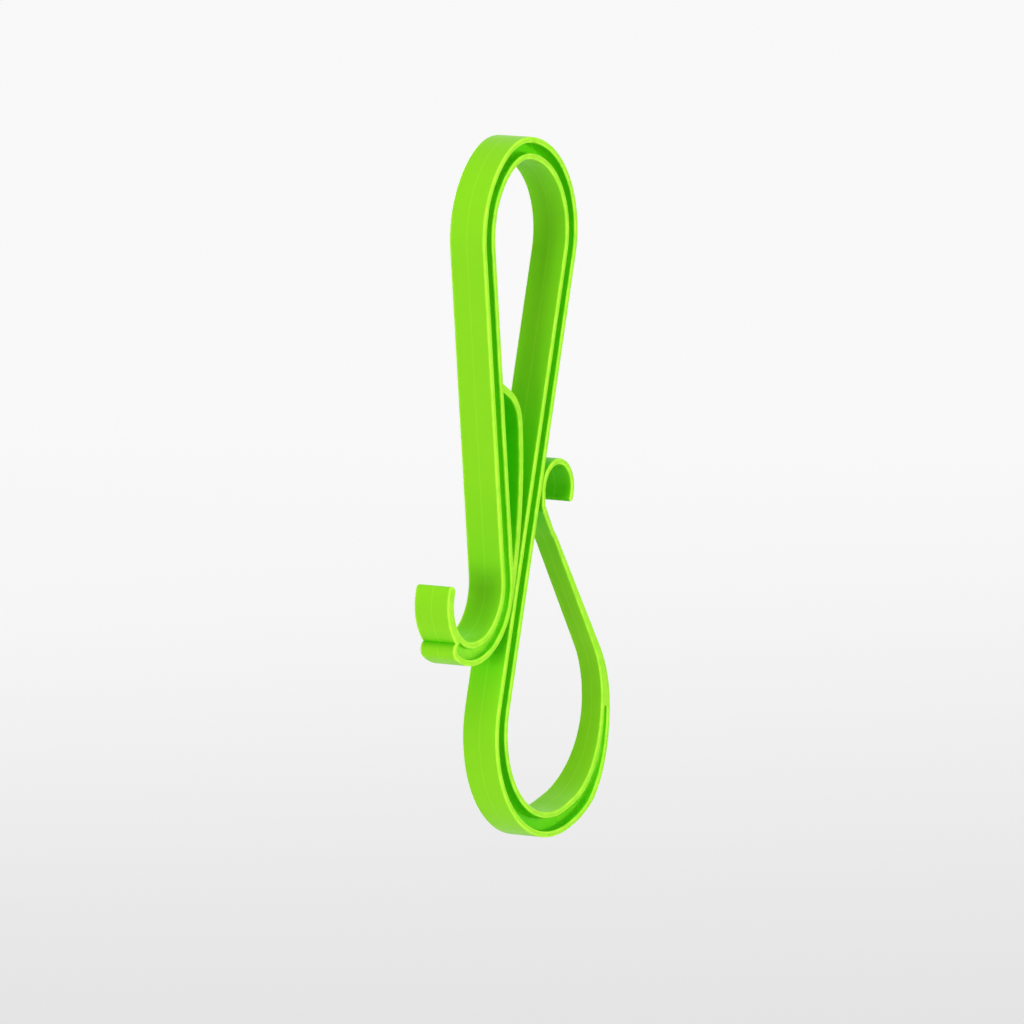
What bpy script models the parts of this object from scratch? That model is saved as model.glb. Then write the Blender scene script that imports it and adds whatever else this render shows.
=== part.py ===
"""Wardrobe hook: a springy band of green plastic that hangs over a wardrobe rail.

A hanger loop sits on the rail. Its front arm comes down to a small J-hook, and its stem comes
down to a large round loop for bags, which a thin gate strip closes against the stem. The band
lies in the X-Z plane and is DEPTH deep along Y, the direction of the rail. The origin is the
seat on top of the rail. Everything is in metres.
"""
import math
from collections import namedtuple

import bmesh
import bpy
from mathutils import Matrix, Vector

# The section: a band with a wall on each side of a web, open at the front and at the back
DEPTH = 0.0160
BAND = 0.0090
WALL = 0.0024
WEB = 0.0024
HOOK_WEB = 0.0100
GATE_WEB = 0.0082
EDGE = 0.0004

# The hanger loop over the rail: two side bends and a tighter crest
CREST_RADIUS = 0.0236
ARM_SIDE_RADIUS = 0.0362
STEM_SIDE_RADIUS = 0.0355
ARM_SIDE_START = math.radians(31.5)
STEM_SIDE_START = math.radians(5.0)

# The bag loop: two bends joined by a short straight, in a band that swells at the bottom
BAG_SIDE = 0.0206
BAG_DROP = 0.2303
BAG_RADIUS = 0.0406
BOTTOM_TILT = math.radians(16.3)
BOTTOM_RUN = 0.0045
GATE_SIDE_RADIUS = 0.0424
BOTTOM_BAND = 0.0105
GATE_ROOT_BAND = 0.0068
TAPER_HEIGHT = 0.0380
GROOVE_STOP = math.radians(4.0)

# The J-hook below the arm: a wide bend, a tighter one, a round lobe and a solid tip
HOOK_DROP = 0.1680
HOOK_RADIUS = 0.0255
TIP_SIDE_RADIUS = 0.0207
HOOK_BAND = 0.0095
THROAT_GAP = 0.0012
LOBE_RADIUS = 0.0038
TIP_THICK = 0.0044
LOBE_TURN = math.radians(34.2)
LOBE_POCKET_TURN = math.radians(33.2)
STUB_TURN = math.radians(48.0)
TIP_TURN = math.radians(116.5)
TIP_INNER_ROUND = 0.0020
TIP_OUTER_ROUND = 0.0019

# The wedge on the arm that keeps the hook on its rail
WEDGE_DROP = 0.1064
WEDGE_ROUND = 0.0174
WEDGE_BOW_RADIUS = 0.1960
WEDGE_WALL = 0.0028
WEDGE_SLOPE = math.radians(30.0)
WEDGE_LENGTH_SHARE = 0.90

# The gate: a narrow springy strip that flares out to a finger curl
GATE_DEPTH = 0.0100
GATE_LINE_BAND = 0.0040
GATE_TOP_BAND = 0.0024
GATE_GAP = 0.0005
CURL_DROP = 0.1352
CURL_RADIUS = 0.0113
CURL_SWEEP = math.radians(206.0)
GATE_LEG = 0.0045
GATE_BEND_RADIUS = 0.0040
GATE_BOW = math.radians(9.2)
GATE_KNEE_RADIUS = 0.0250
FLARE_RUN = 0.0150

# Workshop values: the gap at each seam, how far a cut runs on, and the arc's step
SEAM = 0.0003
OVERRUN = 0.0020
ARC_STEP = math.radians(6.0)
ROUND_STEP = math.radians(18.0)
TAPER_STEPS = 8
WELD = 0.000001
BEVEL_SEGMENTS = 1
BEVEL_ANGLE = math.radians(50.0)
FLAT_ANGLE = math.radians(0.5)

HALF = BAND / 2
QUARTER = math.pi / 2
GREEN = (0.20, 0.62, 0.01, 1.0)
ROUGHNESS = 0.32

Bend = namedtuple("Bend", "centre radius turn")
Step = namedtuple("Step", "point normal half")


def polar(centre, radius, angle):
    """The point at a radius and an angle from a centre, in the X-Z plane."""
    return centre + Vector((math.cos(angle), math.sin(angle))) * radius


def normal_of(heading):
    """The direction to the left of a heading."""
    return Vector((-math.sin(heading), math.cos(heading)))


def ahead_of(normal):
    """The direction of travel whose left is this normal."""
    return Vector((normal.y, -normal.x))


def tangent(first, second):
    """The straight run between two bends, as on a belt: where it leaves, arrives, and its heading."""
    across = second.centre - first.centre
    rise = second.turn * second.radius - first.turn * first.radius
    length = math.sqrt(max(across.length_squared - rise * rise, 0.0))
    heading = math.atan2(across.y, across.x) - math.atan2(rise, length)
    normal = normal_of(heading)
    leave = first.centre - normal * first.turn * first.radius
    arrive = second.centre - normal * second.turn * second.radius
    return leave, arrive, heading


def arc(bend, start, end, half_start, half_end):
    """Steps along a bend between two headings, with half of the band's height at each end."""
    count = max(2, math.ceil(abs(end - start) / ARC_STEP))
    steps = []
    for index in range(count + 1):
        share = index / count
        normal = normal_of(start + (end - start) * share)
        point = bend.centre - normal * bend.turn * bend.radius
        steps.append(Step(point, normal, half_start + (half_end - half_start) * share))
    return steps


def run(start, end, half_start, half_end):
    """Steps along a straight run."""
    along = (end - start).normalized()
    normal = Vector((-along.y, along.x))
    return [Step(start, normal, half_start), Step(end, normal, half_end)]


def moved_ends(steps, start, end):
    """The steps with their two ends moved along the band: outwards for a pocket, inwards for a seam."""
    first, last = steps[0], steps[-1]
    return (
        [first._replace(point=first.point - ahead_of(first.normal) * start)]
        + steps[1:-1]
        + [last._replace(point=last.point + ahead_of(last.normal) * end)]
    )


def edge_line(steps, side, inset=0.0):
    """One edge of the band: side is 1 for the left of the travel, and -1 for the right."""
    return [step.point + step.normal * side * (step.half - inset) for step in steps]


def ribbon(steps, inset=0.0):
    """A closed outline round the band, or round its pocket where there is an inset."""
    return edge_line(steps, 1, inset) + edge_line(steps, -1, inset)[::-1]


def fan(centre, radius, start, end, step=ARC_STEP):
    """Points on a circle between two angles, both included."""
    count = max(1, math.ceil(abs(end - start) / step))
    return [polar(centre, radius, start + (end - start) * index / count) for index in range(count + 1)]


def end_round(step, inset, ahead=1):
    """The points that round off the band's end, from its right to its left (from left to right behind)."""
    start = angle_of(Vector((0.0, 0.0)), step.normal * -ahead)
    radius = step.half - inset
    return fan(step.point, radius, start, start + math.pi, ROUND_STEP)[1:-1]


def angle_of(centre, point):
    """The angle of a point, seen from a centre."""
    return math.atan2(point.y - centre.y, point.x - centre.x)


def meeting(centre_a, radius_a, centre_b, radius_b, side):
    """Where two circles meet, on the left (1) or the right (-1) of the line from a to b."""
    across = centre_b - centre_a
    along = (radius_a ** 2 - radius_b ** 2 + across.length_squared) / (2 * across.length)
    rise = math.sqrt(max(radius_a ** 2 - along ** 2, 0.0))
    unit = across.normalized()
    return centre_a + unit * along + Vector((-unit.y, unit.x)) * rise * side


def crossing(start_a, along_a, start_b, along_b):
    """Where two straight lines cross."""
    turned = Vector((-along_b.y, along_b.x))
    return start_a + along_a * ((start_b - start_a).dot(turned) / along_a.dot(turned))


# The bends of the spine, the line along the middle of the band
crest = Bend(Vector((0.0, HALF - CREST_RADIUS)), CREST_RADIUS, -1)
arm_side = Bend(
    polar(crest.centre, CREST_RADIUS - ARM_SIDE_RADIUS, QUARTER + ARM_SIDE_START), ARM_SIDE_RADIUS, -1
)
stem_side = Bend(
    polar(crest.centre, CREST_RADIUS - STEM_SIDE_RADIUS, QUARTER - STEM_SIDE_START), STEM_SIDE_RADIUS, -1
)
bag_side = Bend(Vector((BAG_SIDE, -BAG_DROP)), BAG_RADIUS, 1)
stem_top, stem_foot, stem_heading = tangent(stem_side, bag_side)
stem_normal = normal_of(stem_heading)


def beside_stem(drop, distance):
    """The point at a drop below the seat, and at a distance from the stem's middle towards the gate."""
    reach = distance - (-drop - stem_top.y) * stem_normal.y
    return Vector((stem_top.x + reach / stem_normal.x, -drop))


# The J-hook's wide bend keeps THROAT_GAP to the stem, and its tighter bend starts at its lowest point
hook_side = Bend(beside_stem(HOOK_DROP, -(HALF + THROAT_GAP + HALF + HOOK_RADIUS)), HOOK_RADIUS, 1)
tip_side = Bend(hook_side.centre - Vector((0.0, HOOK_RADIUS - TIP_SIDE_RADIUS)), TIP_SIDE_RADIUS, 1)
arm_foot, arm_top, arm_heading = tangent(hook_side, arm_side)

# The bag loop's second bend follows the short straight at its bottom
low_normal = normal_of(BOTTOM_TILT)
bag_low = bag_side.centre - low_normal * BAG_RADIUS
gate_low = bag_low + ahead_of(low_normal) * BOTTOM_RUN
gate_side = Bend(gate_low + low_normal * GATE_SIDE_RADIUS, GATE_SIDE_RADIUS, 1)

# The curl keeps GATE_GAP to the stem. Below it the gate bends away and slants out, a little flatter
# than the direct line to the bag loop, and its knee turns it to the strip
curl_reach = HALF + GATE_GAP + GATE_TOP_BAND / 2 + CURL_RADIUS
curl = Bend(beside_stem(CURL_DROP, curl_reach), CURL_RADIUS, -1)
leg_top = curl.centre - Vector((CURL_RADIUS, 0.0))
leg_foot = leg_top - Vector((0.0, GATE_LEG))
gate_bend = Bend(leg_foot + Vector((GATE_BEND_RADIUS, 0.0)), GATE_BEND_RADIUS, -1)
slant_heading = tangent(gate_side, gate_bend)[2] + GATE_BOW
slant_normal = normal_of(slant_heading)
slant_top = gate_bend.centre + slant_normal * GATE_BEND_RADIUS
slant_foot = slant_top - ahead_of(slant_normal) * FLARE_RUN
knee = Bend(slant_foot + slant_normal * GATE_KNEE_RADIUS, GATE_KNEE_RADIUS, 1)
strip_foot, strip_top, strip_heading = tangent(gate_side, knee)

# The band's own stretches, in the direction of travel from the J-hook's lobe to the curl
hook_half = HOOK_BAND / 2
bottom_half = BOTTOM_BAND / 2
root_half = GATE_ROOT_BAND / 2
line_half = GATE_LINE_BAND / 2
top_half = GATE_TOP_BAND / 2
hook_turn = arc(tip_side, -LOBE_TURN, 0.0, hook_half, hook_half)
hook_rise = arc(hook_side, 0.0, arm_heading, hook_half, HALF)
arm_steps = run(arm_foot, arm_top, HALF, HALF)
loop_steps = (
    arc(arm_side, arm_heading, ARM_SIDE_START, HALF, HALF)
    + arc(crest, ARM_SIDE_START, -STEM_SIDE_START, HALF, HALF)[1:]
    + arc(stem_side, -STEM_SIDE_START, stem_heading, HALF, HALF)[1:]
)
stem_steps = run(stem_top, stem_foot, HALF, HALF)
bag_steps = (
    arc(bag_side, stem_heading, BOTTOM_TILT, HALF, bottom_half)
    + arc(gate_side, BOTTOM_TILT, QUARTER, bottom_half, root_half)
)
strip_steps = (
    arc(gate_side, QUARTER, strip_heading, root_half, line_half)
    + arc(knee, strip_heading, slant_heading, top_half, top_half)
    + arc(gate_bend, slant_heading, QUARTER, top_half, top_half)
)
curl_steps = (
    run(leg_foot, leg_top, top_half, top_half)
    + arc(curl, QUARTER, QUARTER - CURL_SWEEP, top_half, top_half)[1:]
)


# Shapes

IN_BAND_PLANE = Matrix(((1, 0, 0), (0, 0, -1), (0, 1, 0)))
ACROSS_BAND = Matrix(((0, 0, 1), (1, 0, 0), (0, 1, 0)))


def material(name, colour, roughness):
    """A plain moulded plastic."""
    made = bpy.data.materials.new(name)
    made.use_nodes = True
    shader = made.node_tree.nodes["Principled BSDF"]
    shader.inputs["Base Color"].default_value = colour
    shader.inputs["Roughness"].default_value = roughness
    shader.inputs["Metallic"].default_value = 0.0
    return made


def plate(name, outline, thickness, middle, collection, facing=IN_BAND_PLANE):
    """A flat outline as a solid mesh, its middle at a distance from the origin along its thickness."""
    curve = bpy.data.curves.new(name, "CURVE")
    curve.dimensions = "2D"
    curve.fill_mode = "BOTH"
    curve.extrude = thickness / 2
    spline = curve.splines.new("POLY")
    spline.points.add(len(outline) - 1)
    for point, place in zip(spline.points, outline):
        point.co = (place.x, place.y, 0.0, 1.0)
    spline.use_cyclic_u = True
    flat = bpy.data.objects.new(name + "_outline", curve)
    collection.objects.link(flat)
    flat.matrix_world = Matrix.Translation(facing @ Vector((0.0, 0.0, middle))) @ facing.to_4x4()
    bpy.context.view_layer.update()
    mesh = bpy.data.meshes.new_from_object(flat.evaluated_get(bpy.context.evaluated_depsgraph_get()))
    mesh.transform(flat.matrix_world)
    bpy.data.objects.remove(flat)
    shape = bmesh.new()
    shape.from_mesh(mesh)
    bmesh.ops.remove_doubles(shape, verts=shape.verts, dist=WELD)
    bmesh.ops.dissolve_limit(shape, angle_limit=FLAT_ANGLE, verts=shape.verts, edges=shape.edges)
    bmesh.ops.recalc_face_normals(shape, faces=shape.faces)
    shape.to_mesh(mesh)
    shape.free()
    made = bpy.data.objects.new(name, mesh)
    collection.objects.link(made)
    return made


def cut(piece, name, outline, thickness, middle, facing=IN_BAND_PLANE):
    """Takes a plate's shape out of a piece, and gives back the plate."""
    tool = plate(f"{piece.name}_{name}", outline, thickness, middle, cutters, facing)
    tool.display_type = "WIRE"
    tool.hide_render = True
    change = piece.modifiers.new(name, "BOOLEAN")
    change.operation = "DIFFERENCE"
    change.solver = "EXACT"
    change.object = tool
    return tool


def cut_pockets(piece, outline, web=WEB):
    """Cuts the same pocket from the front and the back of a piece, down to its web."""
    deep = DEPTH / 2 + OVERRUN - web / 2
    middle = web / 2 + deep / 2
    return cut(piece, "front_pocket", outline, deep, middle), cut(piece, "back_pocket", outline, deep, -middle)


def cut_sloped_pockets(piece, outline, start, end, end_web):
    """Cuts pockets whose web thickens evenly from WEB at one place to end_web at another."""
    along = end - start
    for tool in cut_pockets(piece, outline):
        for vertex in tool.data.vertices:
            if abs(vertex.co.y) < WEB / 2 + WELD:
                share = (Vector((vertex.co.x, vertex.co.z)) - start).dot(along) / along.length_squared
                vertex.co.y = math.copysign((WEB + (end_web - WEB) * share) / 2, vertex.co.y)


def draw_in(piece, full_z, narrow_z, past_z, near, far):
    """Draws in both side faces from the full depth at one height to the gate's depth at another.

    The cut keeps the gate's depth on to past_z, and reaches from X near to far.
    """
    profile = []
    for index in range(TAPER_STEPS + 1):
        share = index / TAPER_STEPS
        depth = GATE_DEPTH + (DEPTH - GATE_DEPTH) * (1 - share) ** 2
        profile.append(Vector((depth / 2, full_z + (narrow_z - full_z) * share)))
    before = profile[0] * 2 - profile[1]
    clear = DEPTH - GATE_DEPTH / 2 + OVERRUN
    profile = [before] + profile + [Vector((GATE_DEPTH / 2, past_z))]
    profile += [Vector((clear, past_z)), Vector((clear, before.y))]
    mirrored = [Vector((-point.x, point.y)) for point in profile]
    cut(piece, "back_side", profile, far - near, (far + near) / 2, ACROSS_BAND)
    cut(piece, "front_side", mirrored, far - near, (far + near) / 2, ACROSS_BAND)


def body_at(name, place):
    """The empty that carries a body, on its joint's axis."""
    empty = bpy.data.objects.new(name, None)
    empty.empty_display_size = BAND
    parts.objects.link(empty)
    empty.location = (place.x, 0.0, place.y)
    return empty


def soften(piece):
    """Breaks a piece's sharp edges, as its mould does."""
    change = piece.modifiers.new("soft_edges", "BEVEL")
    change.width = EDGE
    change.segments = BEVEL_SEGMENTS
    change.limit_method = "ANGLE"
    change.angle_limit = BEVEL_ANGLE


def band_piece(name, outline, body):
    """One piece of the band at its full depth with soft edges, carried by a body's empty."""
    made = plate(name, outline, DEPTH, 0.0, parts)
    made.data.materials.append(green)
    made.data.shade_smooth()
    made.data.set_sharp_from_angle(angle=BEVEL_ANGLE / 2)
    made.parent = body
    made.matrix_parent_inverse = Matrix.Translation(-body.location)
    soften(made)
    return made


def channel(name, steps, start_gap, end_gap, body):
    """A piece of the band whose pockets run out at both of its ends."""
    made = band_piece(name, ribbon(moved_ends(steps, -start_gap, -end_gap)), body)
    cut_pockets(made, ribbon(moved_ends(steps, OVERRUN, OVERRUN), WALL))
    return made


for old in list(bpy.data.objects):
    bpy.data.objects.remove(old, do_unlink=True)

parts = bpy.data.collections.new("wardrobe_hook")
cutters = bpy.data.collections.new("wardrobe_hook_cutters")
bpy.context.scene.collection.children.link(parts)
bpy.context.scene.collection.children.link(cutters)
green = material("hook_green", GREEN, ROUGHNESS)

# The bodies: the arm flexes at its top, about its outer corner, and the gate at its root
root_frame = body_at("root_frame", Vector((0.0, 0.0)))
arm_frame = body_at("arm_frame", edge_line(arm_steps, 1)[-1])
gate_frame = body_at("gate_frame", edge_line(strip_steps, -1)[0])

# The hanger loop and the stem are plain channels, and the arm's web thickens down to the J-hook
rail_loop = channel("rail_loop", loop_steps, 0.0, 0.0, root_frame)
stem = channel("stem", stem_steps, SEAM, SEAM, root_frame)
front_arm = band_piece("front_arm", ribbon(moved_ends(arm_steps, -SEAM, -SEAM)), arm_frame)
arm_pocket = ribbon(moved_ends(arm_steps, OVERRUN, OVERRUN), WALL)
cut_sloped_pockets(front_arm, arm_pocket, arm_top, arm_foot, HOOK_WEB)

# The bag loop: its web thickens towards the gate, its pockets end round just before the gate, and
# there its sides draw in to the gate's depth
bag_loop = band_piece("bag_loop", ribbon(bag_steps), root_frame)
pocket_steps = moved_ends(
    arc(bag_side, stem_heading, BOTTOM_TILT, HALF, bottom_half)
    + arc(gate_side, BOTTOM_TILT, QUARTER - GROOVE_STOP, bottom_half, root_half)[1:], OVERRUN, 0.0
)
left_wall = edge_line(pocket_steps, 1, WALL)
right_wall = edge_line(pocket_steps, -1, WALL)
bag_pocket = left_wall + end_round(pocket_steps[-1], WALL)[::-1] + right_wall[::-1]
bag_left = bag_side.centre - Vector((BAG_RADIUS + HALF, 0.0))
bag_right = Vector((gate_side.centre.x + GATE_SIDE_RADIUS, bag_left.y))
cut_sloped_pockets(bag_loop, bag_pocket, bag_left, bag_right, GATE_WEB)
gate_root_z = gate_side.centre.y
gate_reach = gate_side.centre.x + GATE_SIDE_RADIUS + BAND
taper_z = gate_root_z - TAPER_HEIGHT
draw_in(bag_loop, taper_z, gate_root_z, gate_root_z + OVERRUN, bag_side.centre.x, gate_reach)

# The gate strip: narrow from its root, and flared out again along its slant
gate_strip = band_piece("gate_strip", ribbon(moved_ends(strip_steps, -SEAM, 0.0)), gate_frame)
draw_in(gate_strip, slant_top.y, slant_foot.y, gate_root_z - OVERRUN, 0.0, gate_reach)

# The finger curl: at full depth, with a round free end
curl_band = moved_ends(curl_steps, -SEAM, 0.0)
curl_end = end_round(curl_band[-1], 0.0)[::-1]
gate_curl = band_piece(
    "gate_curl", edge_line(curl_band, 1) + curl_end + edge_line(curl_band, -1)[::-1], gate_frame
)

# The J-hook: its channel ends in a round lobe, and a stub goes on towards the tip
tip_inner = TIP_SIDE_RADIUS - hook_half
tip_outer = tip_inner + TIP_THICK
lobe_angle = -QUARTER - LOBE_TURN
stub_angle = -QUARTER - STUB_TURN
lobe_centre = polar(tip_side.centre, TIP_SIDE_RADIUS + hook_half - LOBE_RADIUS, lobe_angle)
notch = meeting(tip_side.centre, tip_outer, lobe_centre, LOBE_RADIUS, -1)
hook_steps = hook_turn + hook_rise[1:]
hook_outline = (
    edge_line(hook_steps, 1)[::-1]
    + fan(tip_side.centre, tip_inner, lobe_angle, stub_angle)[1:]
    + fan(tip_side.centre, tip_outer, stub_angle, angle_of(tip_side.centre, notch))[:-1]
    + fan(lobe_centre, LOBE_RADIUS, angle_of(lobe_centre, notch), lobe_angle + math.tau, ROUND_STEP)
    + edge_line(hook_steps, -1)[1:]
)
j_hook = band_piece("j_hook", hook_outline, arm_frame)
pocket_steps = moved_ends(
    arc(tip_side, -LOBE_POCKET_TURN, 0.0, hook_half, hook_half) + hook_rise[1:], 0.0, OVERRUN
)
start_round = end_round(pocket_steps[0], WALL, -1)
hook_pocket = edge_line(pocket_steps, 1, WALL)[::-1] + start_round + edge_line(pocket_steps, -1, WALL)
cut_pockets(j_hook, hook_pocket, HOOK_WEB)

# The solid tip of the J-hook, rounded at its free end
tip_start = stub_angle - SEAM / TIP_SIDE_RADIUS
tip_end = -QUARTER - TIP_TURN
inner_turn = math.asin(TIP_INNER_ROUND / (tip_inner + TIP_INNER_ROUND))
outer_turn = math.asin(TIP_OUTER_ROUND / (tip_outer - TIP_OUTER_ROUND))
inner_round = polar(tip_side.centre, tip_inner + TIP_INNER_ROUND, tip_end + inner_turn)
outer_round = polar(tip_side.centre, tip_outer - TIP_OUTER_ROUND, tip_end + outer_turn)
tip_outline = (
    fan(tip_side.centre, tip_inner, tip_start, tip_end + inner_turn)[:-1]
    + fan(inner_round, TIP_INNER_ROUND, tip_end + inner_turn - math.pi, tip_end - QUARTER, ROUND_STEP)
    + fan(outer_round, TIP_OUTER_ROUND, tip_end - QUARTER, tip_end + outer_turn, ROUND_STEP)
    + fan(tip_side.centre, tip_outer, tip_end + outer_turn, tip_start)[1:]
)
hook_tip = band_piece("hook_tip", tip_outline, arm_frame)

# The wedge: a slope, a round shoulder about the arm's middle, and a long bow down to the J-hook's side
arm_along = (arm_top - arm_foot).normalized()
arm_right = ahead_of(arm_along)
shoulder = crossing(arm_foot, arm_along, Vector((0.0, -WEDGE_DROP)), Vector((1.0, 0.0)))
hook_outer = HOOK_RADIUS + HALF
bow_centre = meeting(
    shoulder, WEDGE_BOW_RADIUS - WEDGE_ROUND, hook_side.centre, WEDGE_BOW_RADIUS - hook_outer, -1
)
bow_start = angle_of(bow_centre, shoulder)
bow_end = bow_start + (angle_of(bow_centre, hook_side.centre) - bow_start) * WEDGE_LENGTH_SHARE
slope_angle = QUARTER - WEDGE_SLOPE
slope_normal = Vector((math.cos(slope_angle), math.sin(slope_angle)))
slope_along = ahead_of(slope_normal)


def wedge_line(inset, beside):
    """The wedge's outer surface, moved in by an inset, from a line beside the arm's middle."""
    tangent_point = shoulder + slope_normal * (WEDGE_ROUND - inset)
    top = crossing(tangent_point, slope_along, arm_foot + arm_right * beside, arm_along)
    round_part = fan(shoulder, WEDGE_ROUND - inset, slope_angle, bow_start)
    bow_part = fan(bow_centre, WEDGE_BOW_RADIUS - inset, bow_start, bow_end)[1:]
    return [top] + round_part + bow_part


wedge_skin = wedge_line(0.0, HALF + SEAM)
foot_angle = angle_of(hook_side.centre, wedge_skin[-1])
arm_turn = angle_of(hook_side.centre, arm_foot)
wedge_back = fan(hook_side.centre, hook_outer + SEAM, foot_angle, arm_turn)
arm_wedge = band_piece("arm_wedge", wedge_skin + wedge_back, arm_frame)
cut_pockets(arm_wedge, wedge_line(WEDGE_WALL, 0.0) + [polar(hook_side.centre, HOOK_RADIUS, foot_angle)])
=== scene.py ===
# %% [markdown]
# # A springy wardrobe hook
# The real object is one moulding in lime green plastic. Its band is an open channel, with a wall on
# each side of a thin web. This script loads the solid model of it as a fixed frame, and then dresses
# the frame with finer skins: round rims, a parting line, and a plastic that looks moulded.

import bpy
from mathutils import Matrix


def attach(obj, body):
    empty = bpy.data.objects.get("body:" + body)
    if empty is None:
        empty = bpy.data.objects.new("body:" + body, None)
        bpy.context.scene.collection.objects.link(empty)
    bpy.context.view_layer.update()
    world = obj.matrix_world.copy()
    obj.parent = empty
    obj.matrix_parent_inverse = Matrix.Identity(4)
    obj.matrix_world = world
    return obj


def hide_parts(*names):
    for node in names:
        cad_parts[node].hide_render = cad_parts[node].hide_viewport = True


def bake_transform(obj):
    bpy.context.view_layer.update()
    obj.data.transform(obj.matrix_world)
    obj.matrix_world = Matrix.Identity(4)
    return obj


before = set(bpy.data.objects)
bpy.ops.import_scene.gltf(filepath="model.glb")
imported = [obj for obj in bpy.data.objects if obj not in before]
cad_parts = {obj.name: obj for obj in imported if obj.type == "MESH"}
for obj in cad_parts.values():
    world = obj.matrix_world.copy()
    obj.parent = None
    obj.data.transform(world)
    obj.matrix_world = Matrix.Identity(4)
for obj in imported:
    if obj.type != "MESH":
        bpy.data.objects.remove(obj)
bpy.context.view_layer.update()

# %% [markdown]
# ## The camera
# The photograph looks as if it was taken from far away with a long lens, from the left of the hook and
# a little above it. A long lens keeps parallel edges parallel, so the distance can be large and round,
# and the focal length follows from the width that the picture covers at the hook.

# %% The camera
import math
from collections import namedtuple

import bmesh
import bpy
from mathutils import Vector

VIEW_AZIMUTH = math.radians(-59.0)
VIEW_ELEVATION = math.radians(8.0)
VIEW_DISTANCE = 4.0
VIEW_WIDTH = 0.4096
VIEW_TARGET = Vector((0.00065, 0.0, -0.14214))
SENSOR_MM = 36.0
FAR_CLIP = 50.0

look = Vector((
    -math.sin(VIEW_AZIMUTH) * math.cos(VIEW_ELEVATION),
    math.cos(VIEW_AZIMUTH) * math.cos(VIEW_ELEVATION),
    -math.sin(VIEW_ELEVATION),
))
camera_data = bpy.data.cameras.new("photo_camera")
camera_data.sensor_width = SENSOR_MM
camera_data.lens = SENSOR_MM * VIEW_DISTANCE / VIEW_WIDTH
camera_data.clip_end = FAR_CLIP
camera = bpy.data.objects.new("photo_camera", camera_data)
camera.location = VIEW_TARGET - look * VIEW_DISTANCE
camera.rotation_euler = look.to_track_quat("-Z", "Y").to_euler()
bpy.context.scene.collection.objects.link(camera)
bpy.context.scene.camera = camera
print("lens in mm:", round(camera_data.lens, 1))

# %% [markdown]
# ## The section of the band
# The skins take the same driving sizes as the solids, in metres. The band lies in the X-Z plane and is
# DEPTH deep along Y, and the origin is the seat inside the top of the hanger loop. The walls and the
# web are thin, because thin plastic cools evenly in its mould.

# %% The section
DEPTH = 0.0160
BAND = 0.0090
WALL = 0.0024
WEB = 0.0024
HALF = BAND / 2
print("the section is", round(BAND * 1000, 1), "mm by", round(DEPTH * 1000, 1), "mm")

# %% [markdown]
# ## The spine
# A belt round a set of wheels is made of arcs and of straight runs that touch them. The spine of this
# band is such a belt, so each bend is a centre, a radius and a turning sense, and every straight run is
# found from the two bends beside it. A heading is the direction of travel along the belt, as an angle
# in the X-Z plane, and a normal points a quarter turn to the left of it.

# %% Bends, headings and places
QUARTER = math.pi / 2
Bend = namedtuple("Bend", "centre radius turn")


def polar(centre, radius, angle):
    """The point at an angle and a radius from a centre."""
    return centre + Vector((math.cos(angle), math.sin(angle))) * radius


def angle_of(centre, point):
    """The angle at which a point is seen from a centre."""
    return math.atan2(point.y - centre.y, point.x - centre.x)


def normal_of(heading):
    """The direction a quarter turn to the left of a heading."""
    return Vector((-math.sin(heading), math.cos(heading)))


def ahead_of(normal):
    """The direction of travel to which a normal belongs."""
    return Vector((normal.y, -normal.x))


def place_on(bend, heading):
    """The point of a bend where the belt has a heading."""
    return bend.centre - normal_of(heading) * bend.turn * bend.radius


def tangent(first, second):
    """Where the straight run between two bends starts and ends, and its heading."""
    across = second.centre - first.centre
    rise = second.turn * second.radius - first.turn * first.radius
    length = math.sqrt(max(across.length_squared - rise * rise, 0.0))
    heading = math.atan2(across.y, across.x) - math.atan2(rise, length)
    return place_on(first, heading), place_on(second, heading), heading


# %% [markdown]
# ### Steps along the belt
# A step is a point of the spine, the normal there, and half the width of the band. The steps of an
# arc are close enough that the eye sees a round, and a straight run needs only its two ends.

# %% Arcs and runs
FINE_STEP = math.radians(2.0)
Step = namedtuple("Step", "point normal half")


def arc(bend, start, end, half_start, half_end):
    """The steps along a bend from one heading to another, while the width changes evenly."""
    count = max(2, math.ceil(abs(end - start) / FINE_STEP))
    steps = []
    for index in range(count + 1):
        share = index / count
        heading = start + (end - start) * share
        half = half_start + (half_end - half_start) * share
        steps.append(Step(place_on(bend, heading), normal_of(heading), half))
    return steps


def run(start, end, half):
    """The two steps of a straight run of even width."""
    along = (end - start).normalized()
    normal = Vector((-along.y, along.x))
    return [Step(start, normal, half), Step(end, normal, half)]


def moved_ends(steps, start, end):
    """The same steps with the first and the last moved out along the belt."""
    first, last = steps[0], steps[-1]
    return (
        [first._replace(point=first.point - ahead_of(first.normal) * start)]
        + steps[1:-1]
        + [last._replace(point=last.point + ahead_of(last.normal) * end)]
    )


# %% [markdown]
# ### Outlines from steps
# The two edges of the band lie half its width to the left and to the right of the spine. An inset
# moves them in by a wall, which gives the outline of the pocket. Where two stretches of an outline
# meet in a corner, the corner is worked out from the circles or the lines that they follow.

# %% Edges and round ends
ROUND_STEP = math.radians(10.0)


def edge_line(steps, side, inset=0.0):
    """The edge to the left of the belt for side 1, and to the right for side -1."""
    return [step.point + step.normal * side * (step.half - inset) for step in steps]


def fan(centre, radius, start, end, step=FINE_STEP):
    """Points along a circle from one angle to another."""
    count = max(1, math.ceil(abs(end - start) / step))
    return [polar(centre, radius, start + (end - start) * index / count) for index in range(count + 1)]


def end_round(step, inset, ahead=1):
    """The half circle that closes the band ahead of a step, or behind it for ahead -1."""
    start = angle_of(Vector((0.0, 0.0)), step.normal * -ahead)
    return fan(step.point, step.half - inset, start, start + math.pi, ROUND_STEP)[1:-1]


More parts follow.
